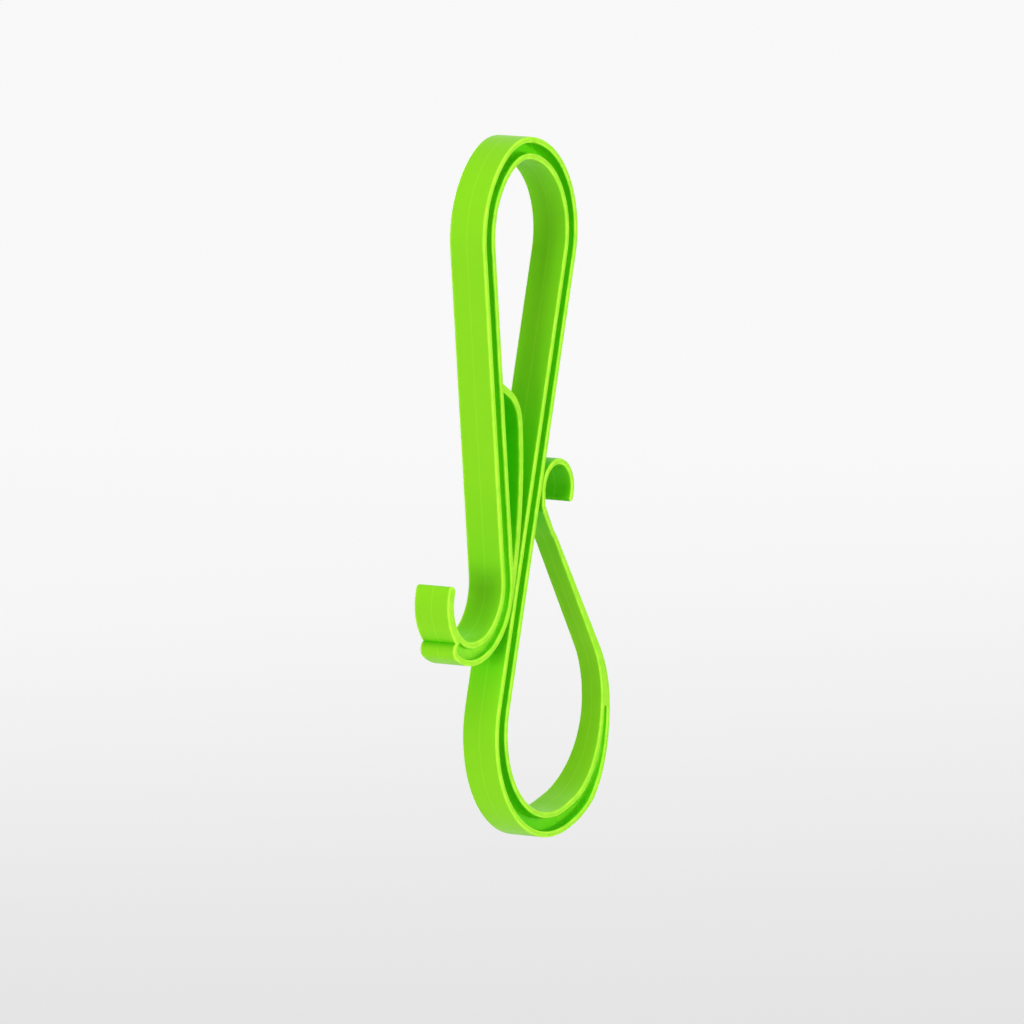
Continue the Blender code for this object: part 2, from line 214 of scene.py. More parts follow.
# %% Where circles meet and lines cross
def meeting(centre_a, radius_a, centre_b, radius_b, side):
    """The point where two circles meet, to one side of the line between their centres."""
    across = centre_b - centre_a
    along = (radius_a ** 2 - radius_b ** 2 + across.length_squared) / (2 * across.length)
    rise = math.sqrt(max(radius_a ** 2 - along ** 2, 0.0))
    unit = across.normalized()
    return centre_a + unit * along + Vector((-unit.y, unit.x)) * rise * side


def crossing(start_a, along_a, start_b, along_b):
    """The point where two lines cross, each given by a start and a direction."""
    turned = Vector((-along_b.y, along_b.x))
    return start_a + along_a * ((start_b - start_a).dot(turned) / along_a.dot(turned))


# %% [markdown]
# ### The hanger loop and the bag loop
# The crest is the top of the hanger loop, and the hook hangs by its inside. The arm's side and the
# stem's side are longer bends that start on the crest without a kink, and the stem is the straight
# run from the hanger loop to the bag loop. The bag loop hangs a little tilted, and a short straight
# run joins its two bends at the bottom.

# %% The bends of the two loops
CREST_RADIUS = 0.0236
ARM_SIDE_RADIUS = 0.0362
ARM_SIDE_START = math.radians(31.5)
STEM_SIDE_RADIUS = 0.0355
STEM_SIDE_START = math.radians(5.0)
BAG_SIDE = 0.0206
BAG_DROP = 0.2303
BAG_RADIUS = 0.0406
BOTTOM_TILT = math.radians(16.3)
BOTTOM_RUN = 0.0045
GATE_SIDE_RADIUS = 0.0424

crest = Bend(Vector((0.0, HALF - CREST_RADIUS)), CREST_RADIUS, -1)
arm_side = Bend(
    polar(crest.centre, CREST_RADIUS - ARM_SIDE_RADIUS, QUARTER + ARM_SIDE_START), ARM_SIDE_RADIUS, -1
)
stem_side = Bend(
    polar(crest.centre, CREST_RADIUS - STEM_SIDE_RADIUS, QUARTER - STEM_SIDE_START), STEM_SIDE_RADIUS, -1
)
bag_side = Bend(Vector((BAG_SIDE, -BAG_DROP)), BAG_RADIUS, 1)
stem_top, stem_foot, stem_heading = tangent(stem_side, bag_side)
bottom_normal = normal_of(BOTTOM_TILT)
bag_low = place_on(bag_side, BOTTOM_TILT)
gate_low = bag_low + ahead_of(bottom_normal) * BOTTOM_RUN
gate_side = Bend(gate_low + bottom_normal * GATE_SIDE_RADIUS, GATE_SIDE_RADIUS, 1)
print("stem leans by", round(math.degrees(stem_heading) + 90, 2), "degrees")

# %% [markdown]
# ### The J-hook and the arm
# The J-hook is placed by its clearance to the stem, as it is on the real hook, where the throat
# between them is nearly closed. The arm is the straight run from the J-hook up to the hanger loop.

# %% The bends of the J-hook
HOOK_DROP = 0.1680
HOOK_RADIUS = 0.0255
TIP_SIDE_RADIUS = 0.0207
THROAT_GAP = 0.0012
stem_normal = normal_of(stem_heading)


def beside_stem(drop, distance):
    """The point at a drop below the seat that lies a distance along the stem's normal from its middle."""
    reach = distance - (-drop - stem_top.y) * stem_normal.y
    return Vector((stem_top.x + reach / stem_normal.x, -drop))


hook_side = Bend(beside_stem(HOOK_DROP, -(HALF + THROAT_GAP + HALF + HOOK_RADIUS)), HOOK_RADIUS, 1)
tip_side = Bend(hook_side.centre - Vector((0.0, HOOK_RADIUS - TIP_SIDE_RADIUS)), TIP_SIDE_RADIUS, 1)
arm_foot, arm_top, arm_heading = tangent(hook_side, arm_side)
print("arm is", round((arm_top - arm_foot).length * 1000, 1), "mm long")

# %% [markdown]
# ### The gate
# The gate rises from the bag loop as a thin strip, leans in towards the stem, and ends in a curl for
# the finger. The curl rests beside the stem, a hair away from it, and places the rest of the gate.

# %% The bends of the gate
GATE_TOP_BAND = 0.0024
GATE_GAP = 0.0005
CURL_DROP = 0.1352
CURL_RADIUS = 0.0113
GATE_LEG = 0.0045
GATE_BEND_RADIUS = 0.0040
GATE_BOW = math.radians(9.2)
GATE_KNEE_RADIUS = 0.0250
FLARE_RUN = 0.0150
top_half = GATE_TOP_BAND / 2

curl = Bend(beside_stem(CURL_DROP, HALF + GATE_GAP + top_half + CURL_RADIUS), CURL_RADIUS, -1)
leg_top = curl.centre - Vector((CURL_RADIUS, 0.0))
leg_foot = leg_top - Vector((0.0, GATE_LEG))
gate_bend = Bend(leg_foot + Vector((GATE_BEND_RADIUS, 0.0)), GATE_BEND_RADIUS, -1)
slant_heading = tangent(gate_side, gate_bend)[2] + GATE_BOW
slant_normal = normal_of(slant_heading)
slant_top = gate_bend.centre + slant_normal * GATE_BEND_RADIUS
slant_foot = slant_top - ahead_of(slant_normal) * FLARE_RUN
knee = Bend(slant_foot + slant_normal * GATE_KNEE_RADIUS, GATE_KNEE_RADIUS, 1)
strip_foot, strip_top, strip_heading = tangent(gate_side, knee)
print("gate strip is", round((strip_top - strip_foot).length * 1000, 1), "mm long below its knee")

# %% [markdown]
# ## From an outline to a moulded skin
# Each skin starts as a flat face in the X-Z plane, and extruding it gives a plate. A modifier shows a
# change without making it, so the finished mesh is read back from what the modifiers show.

# %% Plates
def plate(name, outline, near, far):
    """A flat outline in the X-Z plane, extruded along Y from near to far."""
    shape = bmesh.new()
    corners = [shape.verts.new((point.x, near, point.y)) for point in outline]
    ring = [shape.edges.new(pair) for pair in zip(corners, corners[1:] + corners[:1])]
    face = bmesh.ops.contextual_create(shape, geom=ring)["faces"]
    grown = bmesh.ops.extrude_face_region(shape, geom=face)["geom"]
    moved = [item for item in grown if isinstance(item, bmesh.types.BMVert)]
    bmesh.ops.translate(shape, verts=moved, vec=(0.0, far - near, 0.0))
    bmesh.ops.recalc_face_normals(shape, faces=shape.faces)
    mesh = bpy.data.meshes.new(name)
    shape.to_mesh(mesh)
    shape.free()
    made = bpy.data.objects.new(name, mesh)
    bpy.context.scene.collection.objects.link(made)
    return made


def bake_modifiers(made):
    """Makes what the modifiers show the piece's own mesh."""
    bpy.context.view_layer.update()
    mesh = bpy.data.meshes.new_from_object(made.evaluated_get(bpy.context.evaluated_depsgraph_get()))
    made.modifiers.clear()
    made.data = mesh


# %% [markdown]
# ### Pockets
# The mould forms the channel from both sides at once. Here two smaller plates, one for each side,
# are taken out of the first with a Boolean, and what is left between them is the web.

# %% Pockets
OVERRUN = 0.0020


def with_pockets(made, outline):
    """The same pocket cut from both sides of a plate, down to its web."""
    tools = []
    for near, far in ((-DEPTH / 2 - OVERRUN, -WEB / 2), (WEB / 2, DEPTH / 2 + OVERRUN)):
        tool = plate(made.name + "_pocket", outline, near, far)
        change = made.modifiers.new(tool.name, "BOOLEAN")
        change.operation = "DIFFERENCE"
        change.solver = "EXACT"
        change.object = tool
        tools.append(tool)
    bake_modifiers(made)
    for tool in tools:
        bpy.data.objects.remove(tool)


# %% [markdown]
# ### Round rims
# Every rim is rounded as the mould does it. A bevel would also round two kinds of edges that have to
# stay sharp: the ends of a skin, where the next one goes on, and the inner creases that run down a
# pocket. So the edges are chosen first.

# %% Round rims
MERGE = 0.000001
SEAM_SLACK = MERGE * 10
FLAT_ANGLE = math.radians(0.2)
RIM_ROUND = 0.00075
RIM_SEGMENTS = 4
RIM_ANGLE = math.radians(40.0)


def at_seam(vert, seams):
    """Whether a vertex lies on the cut where another skin goes on."""
    for place, along in seams:
        away = Vector((vert.co.x, vert.co.z)) - place
        if away.length < BAND and abs(away.dot(along)) < SEAM_SLACK:
            return True
    return False


def is_rim(edge, seams):
    """Whether an edge is sharp, and neither an inner crease nor at a seam."""
    first, second = edge.verts
    crease = not edge.is_convex and abs(first.co.y - second.co.y) > WALL
    seam = at_seam(first, seams) and at_seam(second, seams)
    return edge.is_manifold and edge.calc_face_angle() > RIM_ANGLE and not crease and not seam


def round_rims(shape, seams):
    """Clears what the Boolean left over, and bevels the rims."""
    bmesh.ops.remove_doubles(shape, verts=shape.verts, dist=MERGE)
    bmesh.ops.dissolve_limit(shape, angle_limit=FLAT_ANGLE, verts=shape.verts, edges=shape.edges)
    bmesh.ops.bevel(
        shape, geom=[edge for edge in shape.edges if is_rim(edge, seams)], offset=RIM_ROUND,
        offset_type="OFFSET", segments=RIM_SEGMENTS, profile=0.5, affect="EDGES", clamp_overlap=True,
        material=-1,
    )


# %% [markdown]
# ### The parting line
# Where the two halves of a mould meet, they leave a hair-thin ridge along the middle of every face.
# Three cuts give it a crest and two feet, and the crest is raised along its own normals. Two more cuts
# near the rims mark where the walls end and the rounds begin, for the step after this one.

# %% The parting line
PARTING_WIDTH = 0.00040
PARTING_PROUD = 0.00003
ROUND_MARGIN = 0.00025
FIRM_DEPTH = DEPTH / 2 - RIM_ROUND - ROUND_MARGIN


def cut_flat(shape, place, facing):
    """A cut right through the shape that leaves both sides."""
    bmesh.ops.bisect_plane(
        shape, geom=shape.verts[:] + shape.edges[:] + shape.faces[:], dist=MERGE,
        plane_co=place, plane_no=facing,
    )


def raise_parting(shape, seams):
    """Makes the five cuts, and raises the middle one."""
    for offset in (-PARTING_WIDTH / 2, 0.0, PARTING_WIDTH / 2, -FIRM_DEPTH, FIRM_DEPTH):
        cut_flat(shape, (0.0, offset, 0.0), (0.0, 1.0, 0.0))
    shape.normal_update()
    for vert in [vert for vert in shape.verts if abs(vert.co.y) < MERGE and not at_seam(vert, seams)]:
        vert.co += vert.normal * PARTING_PROUD


# %% [markdown]
# ### Depths, and painted light for the plastic
# The band isn't equally deep everywhere, and its web grows thicker in places. So the rims and the pocket
# floors are made flat first, and then each of their vertices moves along Y to the depth that a function
# gives for its place. An attribute keeps how much painted light a vertex gets in the plastic: a full
# painted highlight on a round, less on the flat land between two rounds, and some painted light on a
# shallow pocket's floor.

# %% Depths and painted light shares
LAND_HIGHLIGHT_SHARE = 0.45
SHALLOW_FLOOR_LIGHT_SHARE = 0.85


def full_depth(place):
    return DEPTH / 2


def thin_web(place):
    return WEB / 2


def set_depths(shape, rim_at, floor_at):
    """Moves the rims and the floors to their depths, and writes the shares of painted light."""
    painted_light_share =shape.verts.layers.float.new("painted_light_share")
    for vert in shape.verts:
        depth = abs(vert.co.y)
        if depth > DEPTH / 2 - RIM_ROUND + MERGE:
            # Rounds get a full painted highlight, and the flat land a part of it.
            vert[painted_light_share] = LAND_HIGHLIGHT_SHARE if depth > DEPTH / 2 - MERGE else 1.0
        if depth > FIRM_DEPTH - MERGE:
            vert.co.y = math.copysign(rim_at(vert.co) - (DEPTH / 2 - depth), vert.co.y)
        elif depth > WEB / 2 - MERGE:
            floor_depth = min(floor_at(vert.co), rim_at(vert.co) - 2 * (DEPTH / 2 - FIRM_DEPTH))
            # A shallow pocket's floor gets some painted light, more the shallower the pocket is.
            vert[painted_light_share] = SHALLOW_FLOOR_LIGHT_SHARE * (floor_depth - WEB / 2) / (DEPTH / 2 - WEB / 2)
            vert.co.y = math.copysign(floor_depth + depth - WEB / 2, vert.co.y)


# %% [markdown]
# ### All of it, in order
# Faces with many corners are triangulated before the piece is cut where it has to bend, because a
# large face can't bend. Weighted normals keep the flat faces flat to the eye beside their rounds.

# %% The finished skin
SMOOTH_ANGLE = math.radians(40.0)
LARGEST_FACE = 4


def with_rims(made, seams=(), rim_at=full_depth, floor_at=thin_web, bends=()):
    """Rounds every rim but those at the seams, raises the parting line, and places rims and floors."""
    shape = bmesh.new()
    shape.from_mesh(made.data)
    round_rims(shape, seams)
    raise_parting(shape, seams)
    large = [face for face in shape.faces if len(face.verts) > LARGEST_FACE]
    bmesh.ops.triangulate(shape, faces=large, ngon_method="BEAUTY")
    for place, along in bends:
        cut_flat(shape, (place.x, 0.0, place.y), (along.x, 0.0, along.y))
    set_depths(shape, rim_at, floor_at)
    shape.to_mesh(made.data)
    shape.free()
    made.data.shade_smooth()
    made.data.set_sharp_from_angle(angle=SMOOTH_ANGLE)
    even = made.modifiers.new("even_faces", "WEIGHTED_NORMAL")
    even.keep_sharp = True
    bake_modifiers(made)
    print(made.name, len(made.data.polygons), "faces")


# %% [markdown]
# ## The frame skin
# The hanger loop, the stem and the bag loop don't move against each other, so one skin covers them
# without a seam. It stops short of the arm's joint and of the gate's, so that the skins of the arm and
# of the gate can bend evenly to both sides of their joints, and its groove is open there, because
# theirs goes on. The band swells to the bottom of the bag loop, and narrows again to the gate.

# %% The steps of the frame skin
BOTTOM_BAND = 0.0105
GATE_ROOT_BAND = 0.0068
GROOVE_STOP = math.radians(4.0)
ARM_SEAM_TURN = math.radians(23.0)
GATE_SEAM_TURN = math.radians(18.5)
bottom_half = BOTTOM_BAND / 2
root_half = GATE_ROOT_BAND / 2
arm_seam_heading = arm_heading - ARM_SEAM_TURN
gate_seam_heading = QUARTER - GATE_SEAM_TURN


def half_at_gate_seam(end_heading):
    """Half the band at the gate's seam, where it shrinks evenly up to the end heading."""
    share = (gate_seam_heading - BOTTOM_TILT) / (end_heading - BOTTOM_TILT)
    return bottom_half + (root_half - bottom_half) * share


arm_seam = (place_on(arm_side, arm_seam_heading), ahead_of(normal_of(arm_seam_heading)))
gate_seam = (place_on(gate_side, gate_seam_heading), ahead_of(normal_of(gate_seam_heading)))
seam_half = half_at_gate_seam(QUARTER)
groove_half = half_at_gate_seam(QUARTER - GROOVE_STOP)
loop_steps = (
    arc(arm_side, arm_seam_heading, ARM_SIDE_START, HALF, HALF)
    + arc(crest, ARM_SIDE_START, -STEM_SIDE_START, HALF, HALF)[1:]
    + arc(stem_side, -STEM_SIDE_START, stem_heading, HALF, HALF)[1:]
    + arc(bag_side, stem_heading, BOTTOM_TILT, HALF, bottom_half)
)
body_steps = loop_steps + arc(gate_side, BOTTOM_TILT, gate_seam_heading, bottom_half, seam_half)
groove_steps = loop_steps + arc(gate_side, BOTTOM_TILT, gate_seam_heading, bottom_half, groove_half)[1:]
groove_steps = moved_ends(groove_steps, OVERRUN, OVERRUN)
print("frame skin follows", len(body_steps), "steps")

# %% [markdown]
# ### The walls and the floor of the bag loop
# On the gate side the walls draw in along a parabola, because the gate has to be narrow enough to
# spring. The web grows from the stem to the gate, and there it fills nearly the whole band.

# %% The walls and the floor of the bag loop
TAPER_HEIGHT = 0.0380
GATE_DEPTH = 0.0100
GATE_WEB = 0.0082
gate_root = place_on(gate_side, QUARTER)
taper_start = gate_root.y - TAPER_HEIGHT


def drawn_in(share):
    """Half the depth on the way from the full band, at share 0, to the narrow gate, at share 1."""
    held = min(max(share, 0.0), 1.0)
    return (GATE_DEPTH + (DEPTH - GATE_DEPTH) * (1 - held) ** 2) / 2


def bag_rim(place):
    """Half the band's depth, which draws in towards the gate."""
    if place.x < bag_side.centre.x or place.z > gate_root.y + BAND:
        return DEPTH / 2
    return drawn_in((place.z - taper_start) / TAPER_HEIGHT)


def bag_floor(place):
    """Half the web's thickness, which grows evenly from the stem to the gate."""
    if place.z > stem_foot.y:
        return WEB / 2
    share = max((place.x - stem_foot.x) / (gate_root.x - stem_foot.x), 0.0)
    return (WEB + (GATE_WEB - WEB) * share) / 2


# %% The frame skin
frame_skin = plate(
    "frame_skin", edge_line(body_steps, 1) + edge_line(body_steps, -1)[::-1], -DEPTH / 2, DEPTH / 2
)
with_pockets(frame_skin, edge_line(groove_steps, 1, WALL) + edge_line(groove_steps, -1, WALL)[::-1])
with_rims(frame_skin, seams=[arm_seam, gate_seam], rim_at=bag_rim, floor_at=bag_floor)
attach(frame_skin, "root")
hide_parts("rail_loop", "stem", "bag_loop")

# %% [markdown]
# ## The arm skin
# The front arm is the same channel. It ends in the J-hook, whose outer wall curls into a round lobe,
# while its inner wall goes on as the solid tip. The notch between lobe and tip is where the tip's
# outer face meets the lobe's circle. The tip's end has two small rounds, which touch its two faces.

# %% The outline of the arm skin
HOOK_BAND = 0.0095
TIP_THICK = 0.0044
TIP_TURN = math.radians(116.5)
TIP_INNER_ROUND = 0.0020
TIP_OUTER_ROUND = 0.0019
LOBE_RADIUS = 0.0038
LOBE_TURN = math.radians(34.2)
hook_half = HOOK_BAND / 2
tip_inner = TIP_SIDE_RADIUS - hook_half
tip_outer = tip_inner + TIP_THICK
tip_end = -QUARTER - TIP_TURN
inner_turn = math.asin(TIP_INNER_ROUND / (tip_inner + TIP_INNER_ROUND))
outer_turn = math.asin(TIP_OUTER_ROUND / (tip_outer - TIP_OUTER_ROUND))
inner_round = polar(tip_side.centre, tip_inner + TIP_INNER_ROUND, tip_end + inner_turn)
outer_round = polar(tip_side.centre, tip_outer - TIP_OUTER_ROUND, tip_end + outer_turn)
lobe_angle = -QUARTER - LOBE_TURN
lobe_centre = polar(tip_side.centre, TIP_SIDE_RADIUS + hook_half - LOBE_RADIUS, lobe_angle)
notch = meeting(tip_side.centre, tip_outer, lobe_centre, LOBE_RADIUS, -1)
bowl_steps = arc(hook_side, 0.0, arm_heading, hook_half, HALF)[1:]
shank_steps = run(arm_foot, arm_top, HALF)[1:] + arc(
    arm_side, arm_heading, arm_seam_heading, HALF, HALF
)[1:]
arm_steps = arc(tip_side, -LOBE_TURN, 0.0, hook_half, hook_half) + bowl_steps + shank_steps
arm_outline = (
    edge_line(arm_steps, 1)[::-1]
    + fan(tip_side.centre, tip_inner, lobe_angle, tip_end + inner_turn)[1:-1]
    + fan(inner_round, TIP_INNER_ROUND, tip_end + inner_turn - math.pi, tip_end - QUARTER, ROUND_STEP)
    + fan(outer_round, TIP_OUTER_ROUND, tip_end - QUARTER, tip_end + outer_turn, ROUND_STEP)
    + fan(tip_side.centre, tip_outer, tip_end + outer_turn, angle_of(tip_side.centre, notch))[1:-1]
    + fan(lobe_centre, LOBE_RADIUS, angle_of(lobe_centre, notch), lobe_angle + math.tau, ROUND_STEP)
    + edge_line(arm_steps, -1)[1:]
)
print("arm skin has", len(arm_outline), "points round it")

# %% [markdown]
# ### The arm's pocket and its bend
# The pocket ends in a half circle inside the lobe. The web grows evenly down the arm. The real arm bends
# where it leaves the hanger loop, so the skin starts a little way up the loop's side, and it has rows to
# bend on over about equal lengths to both sides of the joint.

# %% The arm, the J-hook and its tip
HOOK_WEB = 0.0100
LOBE_POCKET_TURN = math.radians(33.2)
BLEND_RUN = 0.0240
BLEND_CUTS = 8


def arm_floor(place):
    """Half the web's thickness, which grows down the arm and stays full in the hook."""
    share = min(max((arm_top.y - place.z) / (arm_top.y - arm_foot.y), 0.0), 1.0)
    return (WEB + (HOOK_WEB - WEB) * share) / 2


def even_cuts(start, end, along):
    """Evenly spaced cuts from one point to another, so that a skin can bend between them."""
    return [(start.lerp(end, (index + 1) / BLEND_CUTS), along) for index in range(BLEND_CUTS)]


arm_skin = plate("arm_skin", arm_outline, -DEPTH / 2, DEPTH / 2)
pocket_steps = moved_ends(
    arc(tip_side, -LOBE_POCKET_TURN, 0.0, hook_half, hook_half) + bowl_steps + shank_steps, 0.0, OVERRUN
)
with_pockets(
    arm_skin,
    edge_line(pocket_steps, 1, WALL)[::-1] + end_round(pocket_steps[0], WALL, -1)
    + edge_line(pocket_steps, -1, WALL),
)
arm_down = (arm_foot - arm_top).normalized()
blend_end = arm_top + arm_down * BLEND_RUN / 2
with_rims(
    arm_skin, seams=[arm_seam], floor_at=arm_floor, bends=even_cuts(arm_top, blend_end, arm_down)
)
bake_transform(arm_skin)
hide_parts("front_arm", "j_hook", "hook_tip")

# %% [markdown]
# ## The wedge
# The wedge bows out from the arm towards the stem, narrows the neck of the hanger loop and keeps the
# hook from slipping off. Its outer surface is a slope, a round shoulder and a long bow that runs out on
# the J-hook's outer circle. It has its own outer wall and the same web, and its pocket is open to the
# arm's wall, which closes it.

# %% The outline of the wedge
WEDGE_DROP = 0.1064
WEDGE_ROUND = 0.0174
WEDGE_BOW_RADIUS = 0.1960
WEDGE_SLOPE = math.radians(30.0)
WEDGE_SINK = 0.0015
BOW_STEP = FINE_STEP / 4
arm_along = -arm_down
arm_right = ahead_of(arm_along)
shoulder = crossing(arm_foot, arm_along, Vector((0.0, -WEDGE_DROP)), Vector((1.0, 0.0)))
hook_outer = HOOK_RADIUS + HALF
bow_centre = meeting(
    shoulder, WEDGE_BOW_RADIUS - WEDGE_ROUND, hook_side.centre, WEDGE_BOW_RADIUS - hook_outer, -1
)
bow_start = angle_of(bow_centre, shoulder)
bow_end = angle_of(bow_centre, hook_side.centre)
slope_angle = QUARTER - WEDGE_SLOPE
slope_normal = Vector((math.cos(slope_angle), math.sin(slope_angle)))


def wedge_line(inset, beside):
    """The wedge's outer surface, moved in by an inset, from a line beside the arm's middle."""
    tangent_point = shoulder + slope_normal * (WEDGE_ROUND - inset)
    top = crossing(tangent_point, ahead_of(slope_normal), arm_foot + arm_right * beside, arm_along)
    round_part = fan(shoulder, WEDGE_ROUND - inset, slope_angle, bow_start)
    bow_part = fan(bow_centre, WEDGE_BOW_RADIUS - inset, bow_start, bow_end, BOW_STEP)[1:]
    return [top] + round_part + bow_part


wedge_front = wedge_line(0.0, HALF - WEDGE_SINK)
foot_angle = angle_of(hook_side.centre, wedge_front[-1])
arm_turn = angle_of(hook_side.centre, arm_foot)
wedge_back = fan(hook_side.centre, hook_outer - WEDGE_SINK, foot_angle, arm_turn)
print("wedge is", round((wedge_front[0] - wedge_front[-1]).length * 1000, 1), "mm long")

# %% [markdown]
# ### The wedge's skin
# The wedge sinks a little into the arm's wall, so that no gap shows between them. Two faces in one
# plane would flicker where they overlap, so the wedge's rims lie a hair lower than the arm's.

# %% The wedge
WEDGE_WALL = 0.0028
WEDGE_SHY = 0.00002
WEDGE_POCKET_DROP = 0.1668


def wedge_rim(place):
    """A hair less than half the depth."""
    return DEPTH / 2 - WEDGE_SHY


wedge_pocket = [point for point in wedge_line(WEDGE_WALL, 0.0) if point.y > -WEDGE_POCKET_DROP]
wedge_pocket.append(Vector((hook_side.centre.x + HOOK_RADIUS, -WEDGE_POCKET_DROP)))
wedge_skin = plate("wedge_skin", wedge_front + wedge_back, -DEPTH / 2, DEPTH / 2)
with_pockets(wedge_skin, wedge_pocket)
with_rims(wedge_skin, rim_at=wedge_rim)
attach(wedge_skin, "arm")
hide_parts("arm_wedge")

# %% [markdown]
# ## The gate skin
# This skin takes in the last part of the bag loop, where the groove ends in a half circle. Above that
# the gate is solid. It leaves the loop as a strip of the same depth as the drawn-in walls, thins as it
# rises, and flares out to the full depth just below the finger curl.

# %% The steps of the gate
GATE_LINE_BAND = 0.0040
CURL_SWEEP = math.radians(206.0)
line_half = GATE_LINE_BAND / 2
gate_steps = (
    arc(gate_side, gate_seam_heading, QUARTER, seam_half, root_half)
    + arc(gate_side, QUARTER, strip_heading, root_half, line_half)[1:]
    + arc(knee, strip_heading, slant_heading, top_half, top_half)
    + arc(gate_bend, slant_heading, QUARTER, top_half, top_half)
    + run(leg_foot, leg_top, top_half)[1:]
    + arc(curl, QUARTER, QUARTER - CURL_SWEEP, top_half, top_half)[1:]
)
stop_steps = arc(gate_side, gate_seam_heading, QUARTER - GROOVE_STOP, groove_half, root_half)
stop_steps = moved_ends(stop_steps, OVERRUN, 0.0)


def gate_rim(place):
    """Half the depth: the bag loop's up to the root, narrow on the strip, and flared on the slant."""
    if place.z < gate_root.y:
        return bag_rim(place)
    return drawn_in((slant_top.y - place.z) / (slant_top.y - slant_foot.y))


# %% [markdown]
# ### The gate's bend
# The real gate flexes where it gets thin, at its root. The skin has rows to bend on over about equal
# lengths to both sides of the root, as the arm's skin has round its joint.

# %% The gate strip and the finger curl
gate_skin = plate(
    "gate_skin",
    edge_line(gate_steps, 1) + end_round(gate_steps[-1], 0.0)[::-1] + edge_line(gate_steps, -1)[::-1],
    -DEPTH / 2, DEPTH / 2,
)
with_pockets(
    gate_skin,
    edge_line(stop_steps, 1, WALL) + end_round(stop_steps[-1], WALL)[::-1]
    + edge_line(stop_steps, -1, WALL)[::-1],
)
strip_along = (strip_foot - gate_root).normalized()
gate_end = gate_root + strip_along * BLEND_RUN / 2
with_rims(
    gate_skin, seams=[gate_seam], rim_at=gate_rim, floor_at=bag_floor,
    bends=even_cuts(gate_root, gate_end, strip_along),
)
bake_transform(gate_skin)
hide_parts("gate_strip", "gate_curl")

# %% [markdown]
# ## The plastic
# The moulding is a saturated lime green with a soft gloss, and a little light goes into it and comes
# out close by. A node tree can be read like a sentence, so it is built in short parts: the open faces,
# the rims, the grooves and the gloss. All patterns read Object coordinates, so they stay put when a
# piece moves.

# %% The body of the plastic
REFRACTION = 1.49
SHINE = 0.06
SOFT_SHARE = 0.25
SOFT_SPREAD = (0.5, 1.0, 0.1)
SOFT_REACH = 0.0025


def node(tree, kind, place, **values):
    """A new node at a place in the node editor, with its settings."""
    made = tree.nodes.new(kind)
    made.location = place
    for name, value in values.items():
        setattr(made, name, value)
    return made


plastic = bpy.data.materials.new("lime_plastic")
plastic.use_nodes = True
tree = plastic.node_tree
shader = tree.nodes["Principled BSDF"]
shader.inputs["IOR"].default_value = REFRACTION
shader.inputs["Specular IOR Level"].default_value = SHINE
shader.inputs["Subsurface Weight"].default_value = SOFT_SHARE
shader.inputs["Subsurface Radius"].default_value = SOFT_SPREAD
shader.inputs["Subsurface Scale"].default_value = SOFT_REACH
coords = node(tree, "ShaderNodeTexCoord", (-1400, 0))
print("plastic with refraction", REFRACTION)

# %% [markdown]
# ### Helpers for the node tree
# Four kinds of nodes come up again and again: a noise, a change of range, a mix of two colours, and
# ambient occlusion, which tells how much of its surroundings a place can see.

# %% Noises, ranges, mixes and hidden places
MIX_FACTOR, MIX_FIRST, MIX_SECOND, MIX_RESULT = 0, 6, 7, 2
OPEN_SAMPLES = 8


def noise(tree, place, coords, scale):
    """A noise on Object coordinates."""
    made = node(tree, "ShaderNodeTexNoise", place)
    made.inputs["Scale"].default_value = scale
    tree.links.new(coords.outputs["Object"], made.inputs["Vector"])
    return made


def ranged(tree, place, value, given=(0.0, 1.0), wanted=(0.0, 1.0), **settings):
    """A value moved from one range to another, and held inside it."""
    made = node(tree, "ShaderNodeMapRange", place, **settings)
    tree.links.new(value, made.inputs["Value"])
    for name, number in zip(("From Min", "From Max", "To Min", "To Max"), given + wanted):
        made.inputs[name].default_value = number
    return made.outputs["Result"]


def mixed(tree, place, factor, first, second):
    """Two colours mixed, where each is a colour or another node's result."""
    made = node(tree, "ShaderNodeMix", place, data_type="RGBA")
    tree.links.new(factor, made.inputs[MIX_FACTOR])
    for index, colour in ((MIX_FIRST, first), (MIX_SECOND, second)):
        if isinstance(colour, tuple):
            made.inputs[index].default_value = colour
        else:
            tree.links.new(colour, made.inputs[index])
    return made.outputs[MIX_RESULT]


def how_open(tree, place, reach):
    """How open a place is to what lies within a reach: zero in a deep hole, and one in the open."""
    made = node(tree, "ShaderNodeAmbientOcclusion", place, samples=OPEN_SAMPLES)
    made.inputs["Distance"].default_value = reach
    return made.outputs["AO"]


# %% [markdown]
# ### The open faces
# The melt's flow varies the colour a little. Light that has already bounced off green plastic is a purer
# green, so faces that other parts of the hook half hide get a painted shade: a purer, slightly darker
# green with less red.

# %% The open faces
GREEN_OPEN = (0.222, 0.625, 0.011, 1.0)
GREEN_FLOW = (0.255, 0.675, 0.015, 1.0)
GREEN_SHADE = (0.060, 0.590, 0.001, 1.0)
FLOW_SCALE = 28.0
SHADE_REACH = 0.0600
SHADE_RANGE = (0.42, 0.98)
flow = noise(tree, (-1100, 300), coords, FLOW_SCALE)
open_green = mixed(tree, (-800, 300), flow.outputs["Fac"], GREEN_OPEN, GREEN_FLOW)
# Places that the hook half hides within the reach get the painted shade.
unshaded = ranged(tree, (-800, -1000), how_open(tree, (-1100, -1000), SHADE_REACH), SHADE_RANGE)
face_green_with_painted_shade = mixed(tree, (-400, 0), unshaded, GREEN_SHADE, open_green)
print("shade reaches", SHADE_REACH * 1000, "mm")
